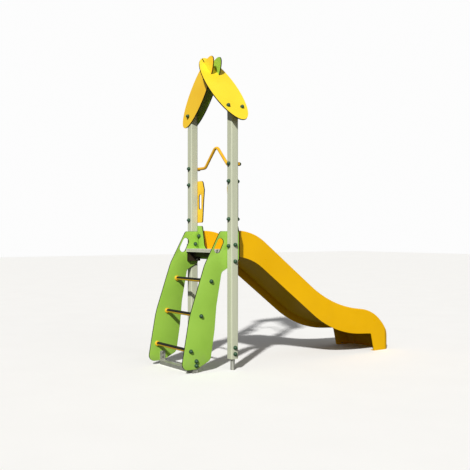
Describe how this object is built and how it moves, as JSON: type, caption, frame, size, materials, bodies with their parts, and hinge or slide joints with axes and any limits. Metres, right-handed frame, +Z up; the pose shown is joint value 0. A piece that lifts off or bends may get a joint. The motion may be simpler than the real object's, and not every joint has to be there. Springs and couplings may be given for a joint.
{
  "type": "playground straight slide",
  "caption": "Straight playground slide with a moulded chute, a panel-sided ladder, two square posts, a guard bar and a roof of leaf-shaped panels.",
  "frame": {"origin": "middle of the underside of the whole object, on the ground plane", "axes": "+Z up, +X from the ladder towards the foot of the chute, +Y across the posts towards the rear post"},
  "size_m": [3.116, 1.1377, 3.4788],
  "materials": {
    "post": "powder-coated satin",
    "galvanised": "hot-dip galvanised",
    "green_panel": "satin sheet with a dark core",
    "yellow_panel": "satin sheet with a dark core",
    "yellow_steel": "powder-coated",
    "chute": "smooth moulded",
    "deck": "ribbed, mill finish",
    "deck_frame": "dark brown powder coat",
    "grip": "ribbed non-slip",
    "cap": "moulded",
    "post_cap": "moulded",
    "insert": "turned",
    "zinc": "zinc-plated"
  },
  "bodies": {
    "root": {"bolt_caps": "cap", "bracket_bolt": "zinc", "chute_anchors": "zinc", "chute_bolts": "zinc", "chute_bolts_low": "zinc", "deck_beam_back": "deck_frame", "deck_beam_front": "deck_frame", "deck_bearer_bolts": "zinc", "deck_bearer_far": "deck_frame", "deck_bearer_near": "deck_frame", "deck_nosing": "deck", "deck_plate": "deck", "entrance_panel": "green_panel", "guard_bar": "yellow_steel", "guard_bar_bolts": "zinc", "handle_panel_near": "yellow_panel", "handle_panel_rear": "yellow_panel", "ladder_foot": "galvanised", "ladder_foot_bolts": "zinc", "ladder_panel_bolts": "zinc", "ladder_panel_far": "green_panel", "ladder_panel_near": "green_panel", "leaf_bolt": "zinc", "nuts": "zinc", "panel_bolts": "zinc", "post_cap_rear": "post_cap", "post_foot_bolts": "zinc", "post_foot_near": "galvanised", "post_foot_rear": "galvanised", "post_insert_near": "insert", "post_near": "post", "post_rear": "post", "roof_bracket": "galvanised", "roof_leaf_left": "yellow_panel", "roof_leaf_right": "green_panel", "roof_leaf_tilted": "yellow_panel", "rung_1": "yellow_steel", "rung_2": "yellow_steel", "rung_3": "yellow_steel", "rung_bolts": "zinc", "rung_grips": "grip", "rung_inserts": "insert", "slide_chute": "chute", "tilted_leaf_bolts": "zinc", "washers": "zinc"}
  },
  "joints": []
}
